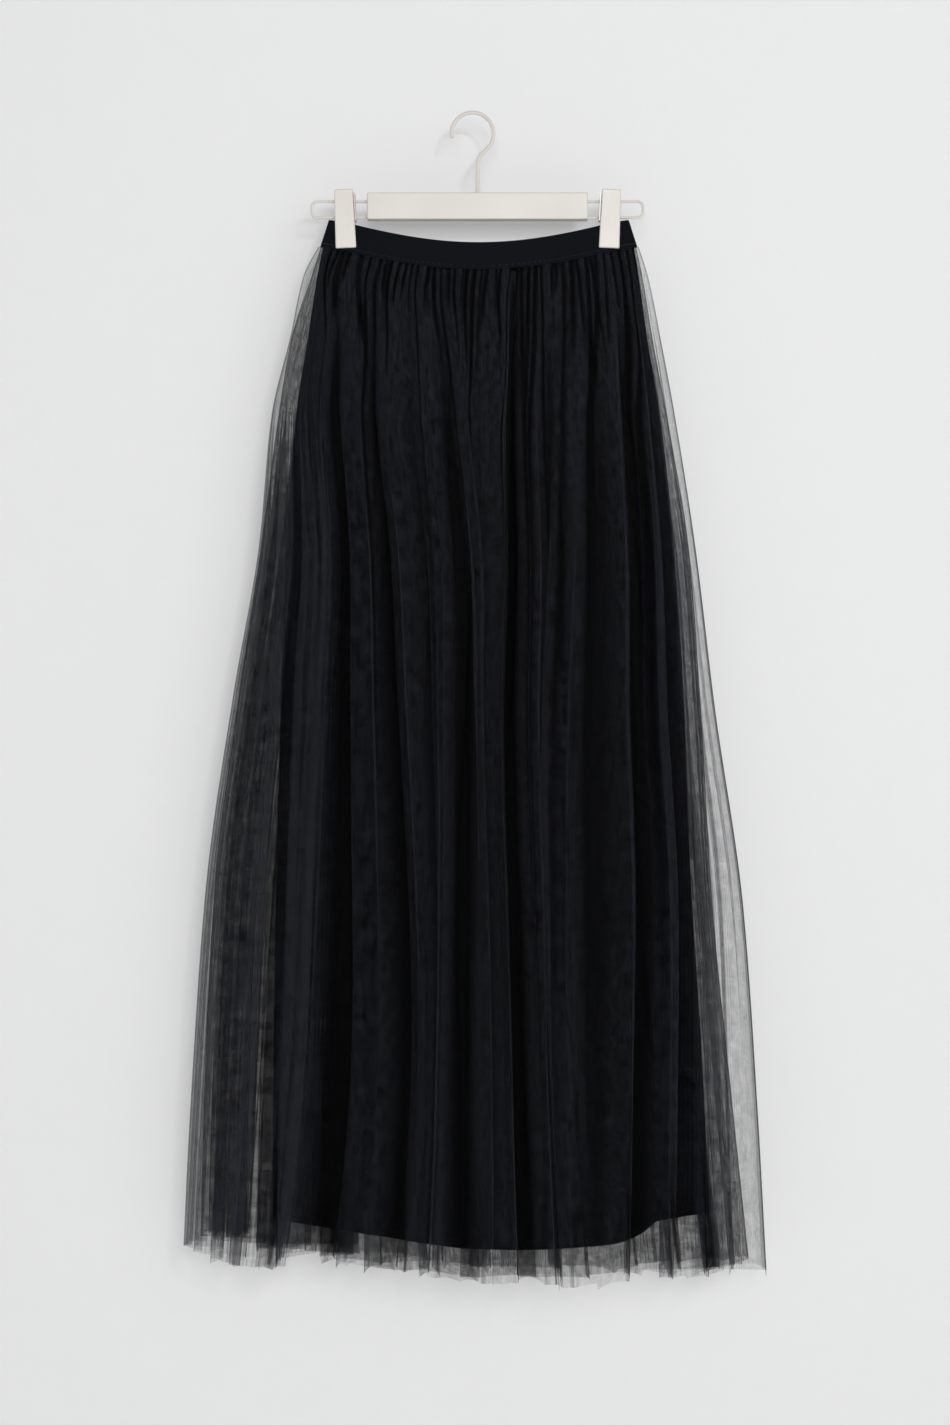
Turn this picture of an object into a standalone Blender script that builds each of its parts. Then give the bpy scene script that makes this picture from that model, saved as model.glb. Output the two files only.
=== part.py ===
"""A long tulle skirt, gathered to an elastic band, held by a clip hanger.

Metres, +Z up. The front looks towards -Y and +X is to the right of someone who
looks at the front. The origin is the underside of the hook's crown, where a peg
or a rail holds the hanger. The tables are in millimetres and are turned to metres
where they are read.
"""
from collections import namedtuple
from math import asin, copysign, cos, pi, radians, sin

import bmesh
import bpy
from mathutils import Matrix, Vector

MM = 0.001
GAP = 0.3 * MM  # clearance between pieces that touch

# ---------------------------------------------------------------- hanger sizes
HANGER_X = 5.0 * MM  # the hanger's middle, beside the hook's crown

HOOK_WIRE = 4.0 * MM
HOOK_RADIUS = 21.0 * MM  # to the middle of the wire
HOOK_START = radians(-40)  # where the neck runs into the round of the hook
HOOK_END = radians(192)  # the open tip
HOOK_NECK = 29.0 * MM  # height of the straight stem above the bar
HOOK_BEND = 9.0 * MM  # how gently the neck bends

BAR_LENGTH = 220.6 * MM
BAR_DEPTH = 15.0 * MM
BAR_HEIGHT = 26.7 * MM
BAR_Z = -92.5 * MM
BAR_EDGE = 1.2 * MM

LOOP_WIRE = 3.0 * MM
LOOP_REACH = 165.5 * MM  # from the hanger's middle to the end of a loop
LOOP_HEIGHT = 16.0 * MM
LOOP_Z = -95.2 * MM
LOOP_CORNER = 5.0 * MM

CLIP_REACH = 132.6 * MM
CLIP_Z = -104.9 * MM
CLIP_HEIGHT = 58.8 * MM
CLIP_TOP = 18.7 * MM
CLIP_BOTTOM = 20.7 * MM
CLIP_LEAF = 3.5 * MM  # thickness of one leaf
CLIP_LEAN = radians(2.5)  # the lower ends lean inwards
CLIP_EDGE = 1.0 * MM

SPRING_STRIP = 1.2 * MM
SPRING_HEIGHT = 28.0 * MM
SPRING_DEPTH = 12.0 * MM
SPRING_SLOT = 4.0 * MM  # the slot that clears the wires
SPRING_BRIDGE = 5.0 * MM
SPRING_RISE = 11.4 * MM  # its middle above the clip's middle

# ------------------------------------------------------------------ cloth sizes
CLOTH_WALL = 1.2 * MM
BAND_WALL = 2.0 * MM
BAND_TOP = 150.0 * MM  # half-width along the upper edge
BAND_BOTTOM = 158.6 * MM  # half-width along the waist seam
BAND_X = 6.3 * MM
BAND_TOP_Z = -105.8 * MM  # at its upper corners
BAND_BOTTOM_Z = -132.8 * MM  # at its lower corners
BAND_SAG = 23.6 * MM  # how far it dips in the middle
BAND_SAG_POWER = 1.4
BAND_GRIP = 2.35 * MM  # half-depth where the clips press it flat
BAND_SWELL = 9.0 * MM  # how much more it opens in the middle
SWELL_REACH = 0.76  # share of the half-width where the swell ends

TULLE_DROP = 1003.0 * MM  # waist seam to hem
TULLE_SLANT = 12.0 * MM  # how much longer it hangs at the right than in the middle
LINING_DROP = 972.0 * MM

ROUND = 2.5  # superellipse power of a hanging section
SETTLE = 0.12  # share of the length over which the cloth leaves the band's shape
TULLE_STEPS = 4  # straight stretches in one fold
LINING_STEPS = 3

# down: share of the length below the seam. left, right: how far the tube reaches to
# each side of the hook. front, back: how far it stands out. fold: depth of its folds.
Section = namedtuple("Section", "down left right front back fold")

OUTER_SECTIONS = (
    Section(0.00, 154.0, 166.0, 14.0, 14.0, 1.8),
    Section(0.03, 169.0, 175.5, 22.0, 22.0, 6.0),
    Section(0.09, 182.0, 188.0, 29.0, 28.0, 9.0),
    Section(0.17, 201.0, 203.0, 35.0, 32.0, 11.0),
    Section(0.30, 213.5, 223.5, 42.0, 37.0, 14.0),
    Section(0.45, 239.0, 242.0, 47.0, 41.0, 17.0),
    Section(0.65, 267.0, 271.0, 53.0, 46.0, 20.0),
    Section(0.85, 281.0, 285.5, 58.0, 50.0, 22.0),
    Section(1.00, 289.0, 294.0, 60.0, 52.0, 22.0),
)
INNER_SECTIONS = (
    Section(0.00, 151.6, 163.6, 10.6, 10.6, 0.8),
    Section(0.03, 161.0, 170.0, 14.0, 14.0, 2.5),
    Section(0.09, 172.0, 180.0, 18.0, 17.0, 4.0),
    Section(0.17, 187.0, 195.0, 22.0, 19.0, 6.0),
    Section(0.30, 206.5, 216.5, 26.0, 21.0, 8.0),
    Section(0.45, 230.0, 231.5, 28.0, 22.0, 9.0),
    Section(0.65, 255.5, 248.5, 31.0, 24.0, 11.0),
    Section(0.85, 259.0, 264.0, 34.0, 26.0, 12.0),
    Section(1.00, 262.0, 276.0, 36.0, 28.0, 12.0),
)
LINING_SECTIONS = (
    Section(0.00, 149.2, 161.2, 8.2, 8.2, 0.4),
    Section(0.03, 155.0, 166.0, 9.5, 9.5, 0.8),
    Section(0.09, 164.0, 174.0, 12.0, 11.0, 1.5),
    Section(0.17, 176.0, 187.0, 14.0, 11.0, 2.0),
    Section(0.30, 186.0, 200.5, 16.0, 11.0, 2.5),
    Section(0.45, 191.0, 210.5, 17.0, 11.0, 2.5),
    Section(0.65, 196.0, 218.0, 18.0, 11.0, 3.0),
    Section(0.85, 199.0, 230.0, 20.0, 12.0, 3.0),
    Section(1.00, 200.0, 236.5, 22.0, 14.0, 3.0),
)

# waist, hem: where the valley at a fold's left side lies, as shares of the half-width.
# depth: the fold's share of its section's fold depth. lean: how far it tips to the right.
Fold = namedtuple("Fold", "waist hem depth lean")

OUTER_FRONT_FOLDS = (
    Fold(-1.00, -1.00, 0.6, 0.00),
    Fold(-0.91, -0.90, 0.8, 0.15),
    Fold(-0.83, -0.78, 1.0, -0.10),
    Fold(-0.75, -0.65, 0.7, 0.10),
    Fold(-0.64, -0.52, 1.0, 0.20),
    Fold(-0.52, -0.38, 0.6, 0.00),
    Fold(-0.41, -0.23, 1.0, -0.15),
    Fold(-0.24, -0.08, 0.7, 0.20),
    Fold(0.01, 0.14, 1.0, -0.10),
    Fold(0.22, 0.24, 0.7, 0.15),
    Fold(0.39, 0.36, 0.9, 0.20),
    Fold(0.54, 0.52, 0.7, -0.15),
    Fold(0.69, 0.65, 1.0, 0.10),
    Fold(0.81, 0.76, 0.8, -0.10),
    Fold(0.90, 0.87, 0.8, 0.00),
)
OUTER_BACK_FOLDS = (
    Fold(-1.00, -1.00, 0.6, 0.00),
    Fold(-0.87, -0.86, 1.0, 0.10),
    Fold(-0.72, -0.66, 0.7, -0.15),
    Fold(-0.53, -0.49, 1.0, 0.15),
    Fold(-0.36, -0.27, 0.8, 0.00),
    Fold(-0.15, -0.11, 1.0, -0.20),
    Fold(0.08, 0.13, 0.6, 0.10),
    Fold(0.29, 0.30, 1.0, 0.15),
    Fold(0.51, 0.49, 0.8, -0.10),
    Fold(0.70, 0.69, 1.0, 0.10),
    Fold(0.86, 0.85, 0.7, 0.00),
)
INNER_FRONT_FOLDS = (
    Fold(-1.00, -1.00, 0.6, 0.00),
    Fold(-0.86, -0.84, 1.0, -0.10),
    Fold(-0.67, -0.61, 0.8, 0.15),
    Fold(-0.46, -0.41, 1.0, 0.10),
    Fold(-0.25, -0.20, 0.7, -0.15),
    Fold(-0.04, 0.02, 1.0, 0.10),
    Fold(0.19, 0.22, 0.8, -0.10),
    Fold(0.40, 0.43, 1.0, 0.15),
    Fold(0.62, 0.62, 0.7, 0.00),
    Fold(0.82, 0.83, 1.0, 0.10),
)
INNER_BACK_FOLDS = (
    Fold(-1.00, -1.00, 0.6, 0.00),
    Fold(-0.84, -0.80, 0.9, 0.10),
    Fold(-0.63, -0.58, 1.0, -0.10),
    Fold(-0.42, -0.34, 0.8, 0.15),
    Fold(-0.18, -0.12, 1.0, 0.00),
    Fold(0.06, 0.08, 0.7, -0.15),
    Fold(0.28, 0.31, 1.0, 0.10),
    Fold(0.52, 0.52, 0.8, 0.10),
    Fold(0.71, 0.74, 1.0, -0.10),
    Fold(0.88, 0.88, 0.7, 0.00),
)
LINING_FOLDS = (
    Fold(-1.00, -1.00, 0.5, 0.00),
    Fold(-0.72, -0.66, 1.0, 0.10),
    Fold(-0.35, -0.30, 0.7, 0.00),
    Fold(0.02, 0.08, 1.0, -0.10),
    Fold(0.36, 0.40, 0.6, 0.10),
    Fold(0.70, 0.72, 1.0, 0.00),
)

# seam: how far the tube stands off the middle where the clips press the band.
Tube = namedtuple("Tube", "sections seam drop slant steps")
OUTER_TUBE = Tube(OUTER_SECTIONS, 4.2 * MM, TULLE_DROP, TULLE_SLANT, TULLE_STEPS)
INNER_TUBE = Tube(INNER_SECTIONS, 2.6 * MM, TULLE_DROP, TULLE_SLANT, TULLE_STEPS)
LINING_TUBE = Tube(LINING_SECTIONS, 1.0 * MM, LINING_DROP, 0.0, LINING_STEPS)

# colour, roughness, metallic
FINISHES = {
    "black_tulle": ((0.012, 0.012, 0.014), 0.75, 0.0),
    "black_lining": ((0.006, 0.006, 0.008), 0.60, 0.0),
    "black_elastic": ((0.009, 0.010, 0.013), 0.70, 0.0),
    "cream_plastic": ((0.74, 0.69, 0.64), 0.45, 0.0),
    "cream_wire": ((0.76, 0.71, 0.66), 0.35, 0.0),
    "dark_steel": ((0.20, 0.18, 0.17), 0.35, 1.0),
}


# ------------------------------------------------------------------- small tools
def clear_scene():
    for thing in list(bpy.data.objects):
        bpy.data.objects.remove(thing, do_unlink=True)


def make_material(name):
    colour, roughness, metallic = FINISHES[name]
    material = bpy.data.materials.new(name)
    material.use_nodes = True
    shader = material.node_tree.nodes["Principled BSDF"]
    shader.inputs["Base Color"].default_value = (*colour, 1.0)
    shader.inputs["Roughness"].default_value = roughness
    shader.inputs["Metallic"].default_value = metallic
    return material


def add_object(name, data, material):
    thing = bpy.data.objects.new(name, data)
    thing.data.materials.append(material)
    bpy.context.scene.collection.objects.link(thing)
    return thing


def finish_mesh(name, shape, material, crease=40):
    """Turns a bmesh into a named object, smooth but for its sharp edges."""
    mesh = bpy.data.meshes.new(name)
    shape.to_mesh(mesh)
    shape.free()
    mesh.shade_smooth()
    mesh.set_sharp_from_angle(angle=radians(crease))
    return add_object(name, mesh, material)


def ease(share):
    """Runs smoothly from 0 to 1 as share does."""
    share = min(max(share, 0.0), 1.0)
    return share * share * (3 - 2 * share)


def mix(first, second, share):
    return first + (second - first) * share


# -------------------------------------------------------------------- waist line
def swell(share):
    """How open the band is: 1 in the middle and 0 at and beyond the clips."""
    return max(0.0, 1 - (share / SWELL_REACH) ** 2) ** 1.5


def sag(share):
    """How far the band has dipped at a share of its half-width."""
    return BAND_SAG * max(0.0, 1 - share * share) ** BAND_SAG_POWER


def sweep_at(share):
    """The sweep, -1 at the left seam and 1 at the right, that reaches a share."""
    return asin(copysign(abs(share) ** (ROUND / 2), share)) * 2 / pi


def share_at(sweep):
    """The share of the half-width at a sweep."""
    turn = sin(sweep * pi / 2)
    return copysign(abs(turn) ** (2 / ROUND), turn)


def bulge_at(sweep):
    """How far a round section stands out at a sweep: 1 in the middle, 0 at the seams."""
    return max(0.0, cos(sweep * pi / 2)) ** (2 / ROUND)


def closing(sweep):
    """Rounds the flat seam section shut at its two ends."""
    return min(1.0, bulge_at(sweep) / 0.25) ** 0.6


# ------------------------------------------------------------------ cloth panels
def fold_columns(folds, steps):
    """Each column of a panel: its fold, the next fold's valley and its place between."""
    columns = []
    for number, fold in enumerate(folds):
        last = number == len(folds) - 1
        following = Fold(1.0, 1.0, 0.0, 0.0) if last else folds[number + 1]
        for step in range(steps):
            columns.append((fold, following, step / steps))
    columns.append((folds[-1], Fold(1.0, 1.0, 0.0, 0.0), 1.0))
    return columns


def column_sweep(column, down):
    fold, following, place = column
    start = sweep_at(mix(fold.waist, fold.hem, down))
    end = sweep_at(mix(following.waist, following.hem, down))
    crest = (1 - cos(2 * pi * place)) / 2
    return mix(start, end, place + fold.lean * crest), crest


def plan_point(tube, section, column, side):
    """One point of a section, seen from above. side is -1 for front, 1 for back."""
    sweep, crest = column_sweep(column, section.down)
    share = share_at(sweep)
    middle = (section.right - section.left) / 2 * MM
    half = (section.right + section.left) / 2 * MM
    reach = (section.front if side < 0 else section.back) * MM
    settled = ease(section.down / SETTLE)
    pressed = mix(tube.seam, reach, swell(share)) * closing(sweep)
    out = mix(pressed, reach * bulge_at(sweep), settled)
    slope_x = copysign(abs(share) ** (ROUND - 1) / half, share)
    slope_y = bulge_at(sweep) ** (ROUND - 1) / reach
    normal = Vector((slope_x, slope_y)).normalized()
    freedom = mix(swell(share), 1.0, settled) * bulge_at(sweep)
    depth = section.fold * MM * column[0].depth * freedom
    point = Vector((middle + half * share, out + GAP / 2)) - normal * depth * (1 - crest)
    return Vector((point.x, side * max(point.y, GAP / 2)))


def plan_normals(points, side):
    """The outward directions along a section, square to it, and flat at its seams."""
    normals = []
    for number, _ in enumerate(points):
        if number in (0, len(points) - 1):
            normals.append(Vector((-1.0 if number == 0 else 1.0, 0.0)))
            continue
        along = points[number + 1] - points[number - 1]
        normals.append(Vector((-side * along.y, side * along.x)).normalized())
    return normals


def panel_skins(tube, folds, side):
    """The outer and inner skins of one panel, as rows of points from waist to hem."""
    columns = fold_columns(folds, tube.steps)
    seam = [plan_point(tube, tube.sections[0], column, side) for column in columns]
    outside, inside = [], []
    for section in tube.sections:
        points = [plan_point(tube, section, column, side) for column in columns]
        normals = plan_normals(points, side)
        outer_row, inner_row = [], []
        for top, point, normal in zip(seam, points, normals):
            share = min(max((top.x - BAND_X) / BAND_BOTTOM, -1.0), 1.0)
            seam_z = BAND_BOTTOM_Z - sag(share) - GAP
            height = seam_z - section.down * (tube.drop + tube.slant * share)
            offset = normal * CLOTH_WALL / 2
            outer_row.append(Vector((*(point + offset), height)))
            inner_row.append(Vector((*(point - offset), height)))
        outside.append(outer_row)
        inside.append(inner_row)
    return outside, inside


def wall_between(outside, inside):
    """A closed wall between two grids of points."""
    shape = bmesh.new()
    outer = [[shape.verts.new(point) for point in row] for row in outside]
    inner = [[shape.verts.new(point) for point in row] for row in inside]
    rows = len(outer)
    columns = len(outer[0])
    for row in range(rows - 1):
        for column in range(columns - 1):
            for grid in (outer, inner):
                shape.faces.new((
                    grid[row][column],
                    grid[row][column + 1],
                    grid[row + 1][column + 1],
                    grid[row + 1][column],
                ))
    for row in (0, rows - 1):
        for column in range(columns - 1):
            shape.faces.new((
                outer[row][column],
                outer[row][column + 1],
                inner[row][column + 1],
                inner[row][column],
            ))
    for column in (0, columns - 1):
        for row in range(rows - 1):
            shape.faces.new((
                outer[row][column],
                outer[row + 1][column],
                inner[row + 1][column],
                inner[row][column],
            ))
    bmesh.ops.triangulate(shape, faces=shape.faces[:])
    bmesh.ops.recalc_face_normals(shape, faces=shape.faces[:])
    return shape


def add_panel(name, tube, folds, side, material):
    outside, inside = panel_skins(tube, folds, side)
    return finish_mesh(name, wall_between(outside, inside), material)


# --------------------------------------------------------------------- waistband
def band_ring(half, inset, height_at):
    """One closed ring of the band: its outline moved in by inset, at its own heights."""
    quarter = 12
    ring = []
    for side in (-1, 1):
        for step in range(-quarter, quarter):
            sweep = side * -step / quarter
            share = share_at(sweep)
            depth = mix(BAND_GRIP, BAND_GRIP + BAND_SWELL, swell(share)) - inset
            x = BAND_X + (half - inset) * share
            ring.append(Vector((x, side * depth * closing(sweep), height_at(share))))
    return ring


def add_waistband(material):
    rings = []
    for inset in (0.0, BAND_WALL):
        top = band_ring(BAND_TOP, inset, lambda share: BAND_TOP_Z - sag(share))
        bottom = band_ring(BAND_BOTTOM, inset, lambda share: BAND_BOTTOM_Z - sag(share))
        rings.append((top, bottom))
    (outer_top, outer_bottom), (inner_top, inner_bottom) = rings
    shape = bmesh.new()
    loops = [
        [shape.verts.new(point) for point in ring]
        for ring in (outer_top, outer_bottom, inner_bottom, inner_top)
    ]
    count = len(outer_top)
    for number, loop in enumerate(loops):
        following = loops[(number + 1) % len(loops)]
        for step in range(count):
            after = (step + 1) % count
            shape.faces.new((loop[step], loop[after], following[after], following[step]))
    bmesh.ops.recalc_face_normals(shape, faces=shape.faces[:])
    return finish_mesh("waistband", shape, material)


# ------------------------------------------------------------------------ hanger
def add_wire(name, points, thickness, material):
    """A round wire along points, with flat ends."""
    curve = bpy.data.curves.new(name, "CURVE")
    curve.dimensions = "3D"
    curve.bevel_depth = thickness / 2
    curve.bevel_resolution = 2
    curve.use_fill_caps = True
    line = curve.splines.new("POLY")
    line.points.add(len(points) - 1)
    for target, point in zip(line.points, points):
        target.co = (*point, 1.0)
    return add_object(name, curve, material)


def arc_points(centre, radius, start, end, steps):
    """Points of an arc in the XZ plane."""
    points = []
    for step in range(steps + 1):
        angle = mix(start, end, step / steps)
        turn = Vector((cos(angle), 0.0, sin(angle)))
        points.append(centre + radius * turn)
    return points


def bend_points(start, start_way, end, end_way, reach, steps):
    """Points of a smooth bend from start to end, both ends left out."""
    handle_a = start + start_way * reach
    handle_b = end - end_way * reach
    points = []
    for step in range(1, steps):
        t = step / steps
        r = 1 - t
        points.append(
            start * r**3 + handle_a * 3 * r * r * t + handle_b * 3 * r * t * t + end * t**3
        )
    return points


def add_hook(material):
    centre = Vector((0.0, 0.0, HOOK_WIRE / 2 - HOOK_RADIUS))
    foot = Vector((HANGER_X, 0.0, BAR_Z + BAR_HEIGHT / 2 + GAP))
    neck = foot + Vector((0.0, 0.0, HOOK_NECK))
    crook = arc_points(centre, HOOK_RADIUS, HOOK_START, HOOK_END, 22)
    upward = Vector((0.0, 0.0, 1.0))
    onward = Vector((-sin(HOOK_START), 0.0, cos(HOOK_START)))
    bend = bend_points(neck, upward, crook[0], onward, HOOK_BEND, 6)
    return add_wire("hanger_hook", [foot, neck, *bend, *crook], HOOK_WIRE, material)


def add_loop(name, side, material):
    inner_x = HANGER_X + side * (BAR_LENGTH / 2 + GAP)
    corner_x = HANGER_X + side * (LOOP_REACH - LOOP_CORNER)
    rise = LOOP_HEIGHT / 2
    points = [Vector((inner_x, 0.0, LOOP_Z + rise))]
    for level in (1, -1):
        centre = Vector((corner_x, 0.0, LOOP_Z + level * (rise - LOOP_CORNER)))
        turn = [(90, 0), (0, -90)][level < 0]
        arc = arc_points(Vector(), LOOP_CORNER, radians(turn[0]), radians(turn[1]), 4)
        points += [centre + Vector((side * point.x, 0.0, point.z)) for point in arc]
    points.append(Vector((inner_x, 0.0, LOOP_Z - rise)))
    return add_wire(name, points, LOOP_WIRE, material)


def box_shape(width, depth, height):
    shape = bmesh.new()
    bmesh.ops.create_cube(shape, size=1.0)
    bmesh.ops.scale(shape, vec=(width, depth, height), verts=shape.verts[:])
    return shape


def round_edges(shape, width):
    bmesh.ops.bevel(
        shape,
        geom=shape.edges[:],
        offset=width,
        segments=2,
        profile=0.5,
        affect="EDGES",
        material=-1,
    )


def add_bar(material):
    shape = box_shape(BAR_LENGTH, BAR_DEPTH, BAR_HEIGHT)
    round_edges(shape, BAR_EDGE)
    bmesh.ops.translate(shape, vec=(HANGER_X, 0.0, BAR_Z), verts=shape.verts[:])
    return finish_mesh("hanger_bar", shape, material)


def place_clip(shape, side):
    """Tips a clip piece, made about the clip's middle, and moves it to its side."""
    tip = Matrix.Rotation(side * CLIP_LEAN, 4, "Y")
    move = Matrix.Translation((HANGER_X + side * CLIP_REACH, 0.0, CLIP_Z))
    bmesh.ops.transform(shape, matrix=move @ tip, verts=shape.verts[:])


def add_leaf(name, side, face, material):
    """One leaf of a clip. face is -1 for the front leaf and 1 for the back one."""
    shape = box_shape(1.0, CLIP_LEAF, CLIP_HEIGHT)
    for corner in shape.verts:
        width = CLIP_TOP if corner.co.z > 0 else CLIP_BOTTOM
        corner.co.x *= width
    round_edges(shape, CLIP_EDGE)
    offset = face * (BAND_GRIP + GAP + CLIP_LEAF / 2)
    bmesh.ops.translate(shape, vec=(0.0, offset, 0.0), verts=shape.verts[:])
    place_clip(shape, side)
    return finish_mesh(name, shape, material)


def add_spring(name, side, material):
    """A strip bent over the wires, on the side of the clip that faces the bar."""
    half = SPRING_DEPTH / 2
    slot = SPRING_SLOT / 2
    top = SPRING_RISE + SPRING_HEIGHT / 2
    bottom = top - SPRING_HEIGHT
    bridge = top - SPRING_BRIDGE
    outline = (
        (-half, bottom), (-slot, bottom), (-slot, bridge), (slot, bridge),
        (slot, bottom), (half, bottom), (half, top), (-half, top),
    )
    near = (CLIP_TOP + CLIP_BOTTOM) / 4 + GAP
    shape = bmesh.new()
    corners = [shape.verts.new((-side * near, y, z)) for y, z in outline]
    face = shape.faces.new(corners)
    grown = bmesh.ops.extrude_face_region(shape, geom=[face])
    moved = [item for item in grown["geom"] if isinstance(item, bmesh.types.BMVert)]
    bmesh.ops.translate(shape, vec=(-side * SPRING_STRIP, 0.0, 0.0), verts=moved)
    bmesh.ops.recalc_face_normals(shape, faces=shape.faces[:])
    place_clip(shape, side)
    return finish_mesh(name, shape, material)


# -------------------------------------------------------------------- everything
def build():
    clear_scene()
    materials = {name: make_material(name) for name in FINISHES}
    tulle = materials["black_tulle"]
    lining = materials["black_lining"]
    cream = materials["cream_plastic"]
    wire = materials["cream_wire"]

    add_waistband(materials["black_elastic"])
    add_panel("tulle_outer_front", OUTER_TUBE, OUTER_FRONT_FOLDS, -1, tulle)
    add_panel("tulle_outer_back", OUTER_TUBE, OUTER_BACK_FOLDS, 1, tulle)
    add_panel("tulle_inner_front", INNER_TUBE, INNER_FRONT_FOLDS, -1, tulle)
    add_panel("tulle_inner_back", INNER_TUBE, INNER_BACK_FOLDS, 1, tulle)
    add_panel("lining_front", LINING_TUBE, LINING_FOLDS, -1, lining)
    add_panel("lining_back", LINING_TUBE, LINING_FOLDS, 1, lining)

    add_bar(cream)
    add_hook(wire)
    for word, side in (("left", -1), ("right", 1)):
        add_loop(f"loop_{word}", side, wire)
        add_leaf(f"clip_{word}_front", side, -1, cream)
        add_leaf(f"clip_{word}_back", side, 1, cream)
        add_spring(f"clip_{word}_spring", side, materials["dark_steel"])


build()
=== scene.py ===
# %% [markdown]
# # A tulle skirt on a clip hanger
# The skirt is two layers of black net, gathered to an elastic band over an opaque
# slip, and it hangs flat from a cream hanger with two clips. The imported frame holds
# the sizes and places of all the parts. This lesson dresses that frame: it hangs fine
# cloth on the plain solids, gives every piece its finish, and sets up the light.

# %% Load the frame
from collections import namedtuple
from math import cos, pi, radians, sin

import bmesh
import bpy
import numpy as np
from mathutils import Matrix, Vector


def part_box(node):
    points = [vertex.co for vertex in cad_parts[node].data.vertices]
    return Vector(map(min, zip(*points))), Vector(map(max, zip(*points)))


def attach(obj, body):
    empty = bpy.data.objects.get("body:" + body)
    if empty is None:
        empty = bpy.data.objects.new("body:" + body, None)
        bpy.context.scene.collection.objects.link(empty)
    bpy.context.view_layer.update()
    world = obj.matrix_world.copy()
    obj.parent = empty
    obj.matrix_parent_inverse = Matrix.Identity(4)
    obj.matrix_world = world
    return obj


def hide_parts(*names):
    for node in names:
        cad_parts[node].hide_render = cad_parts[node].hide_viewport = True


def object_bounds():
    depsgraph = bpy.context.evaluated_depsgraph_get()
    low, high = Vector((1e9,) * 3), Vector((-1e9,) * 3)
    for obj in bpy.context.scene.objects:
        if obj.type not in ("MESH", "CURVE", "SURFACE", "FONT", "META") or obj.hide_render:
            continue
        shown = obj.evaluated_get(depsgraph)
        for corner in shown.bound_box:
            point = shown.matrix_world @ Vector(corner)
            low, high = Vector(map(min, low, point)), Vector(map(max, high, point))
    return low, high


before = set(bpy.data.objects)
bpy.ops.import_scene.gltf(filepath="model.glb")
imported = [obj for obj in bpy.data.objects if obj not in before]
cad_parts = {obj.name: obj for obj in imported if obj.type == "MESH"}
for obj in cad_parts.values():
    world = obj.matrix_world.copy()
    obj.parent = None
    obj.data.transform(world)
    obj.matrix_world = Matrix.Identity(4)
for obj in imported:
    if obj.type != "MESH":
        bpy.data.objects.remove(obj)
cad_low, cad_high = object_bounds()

MM = 0.001
print("frame box", [round(x, 4) for x in (*cad_low, *cad_high)])

# %% [markdown]
# ## Groups of shader nodes
# Cloth needs the same few effects again and again: threads that cross, a soft
# unevenness, fine grain. Each is a node group here, with named sockets, so that every
# material can place it with its own values. A small helper makes nodes and links them
# in one call, because a graph reads best as a list of sums.


# %% Helpers for shader graphs
def new_group(name, inputs, outputs):
    """An empty shader group with float, vector or colour sockets."""
    group = bpy.data.node_groups.new(name, "ShaderNodeTree")
    for label, kind, value in inputs:
        socket = group.interface.new_socket(label, in_out="INPUT", socket_type=kind)
        if value is not None:
            socket.default_value = value
    for label, kind in outputs:
        group.interface.new_socket(label, in_out="OUTPUT", socket_type=kind)
    return group, group.nodes.new("NodeGroupInput"), group.nodes.new("NodeGroupOutput")


def fill_inputs(tree, node, inputs):
    """Links or fills a node's inputs by name or number."""
    for name, value in inputs.items():
        if isinstance(value, bpy.types.NodeSocket):
            tree.links.new(value, node.inputs[name])
        else:
            node.inputs[name].default_value = value
    return node


def add_node(tree, kind, inputs=None, **settings):
    """A node with its settings and its inputs."""
    node = tree.nodes.new(kind)
    for name, value in settings.items():
        setattr(node, name, value)
    return fill_inputs(tree, node, inputs or {})


def add_group(tree, group, inputs):
    """A node group in its place, with its own values."""
    node = tree.nodes.new("ShaderNodeGroup")
    node.node_tree = group
    return fill_inputs(tree, node, inputs)


def sum_of(tree, operation, first, second=0.0, third=0.0, clamp=False):
    """One Math node's result."""
    node = add_node(
        tree, "ShaderNodeMath", {0: first, 1: second, 2: third},
        operation=operation, use_clamp=clamp,
    )
    return node.outputs[0]


def spread_of(tree, value, low, high, to_low, to_high):
    """A value moved from one range to another and kept inside it."""
    node = add_node(
        tree, "ShaderNodeMapRange",
        {"Value": value, "From Min": low, "From Max": high, "To Min": to_low, "To Max": to_high},
    )
    return node.outputs[0]


# %% [markdown]
# ### Net
# Tulle is a net of six-sided holes. Three waves that cross at sixty degrees add up to
# high spots on a six-sided grid, which are the holes, with low lines between them,
# which are the threads. So one sum of three cosines draws the net, from the cloth's
# own cut, and no picture is needed. Two layers of net beat against each other, in
# small patches and in rings like the grain of wood, so a noise and the level lines of
# a slower noise make the net a little closer or more open from place to place.


# %% Group: tulle net
THREAD_EDGE = -0.75  # the waves' sum where a thread begins
THREAD_MIDDLE = -1.25  # and where it is fully there
BEAT_SCALE = 190.0  # the fine patches of net on net
BEAT_STRETCH = 0.35  # they are longer down the cloth than across it
RING_SCALE = 20.0  # the slow noise whose level lines are the rings
RING_STRETCH = 0.4  # the rings are wider across the cloth
RING_TURNS = 130.0  # how close together the rings lie
RING_WEIGHT = 0.28  # how strong the rings are next to the patches


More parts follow.
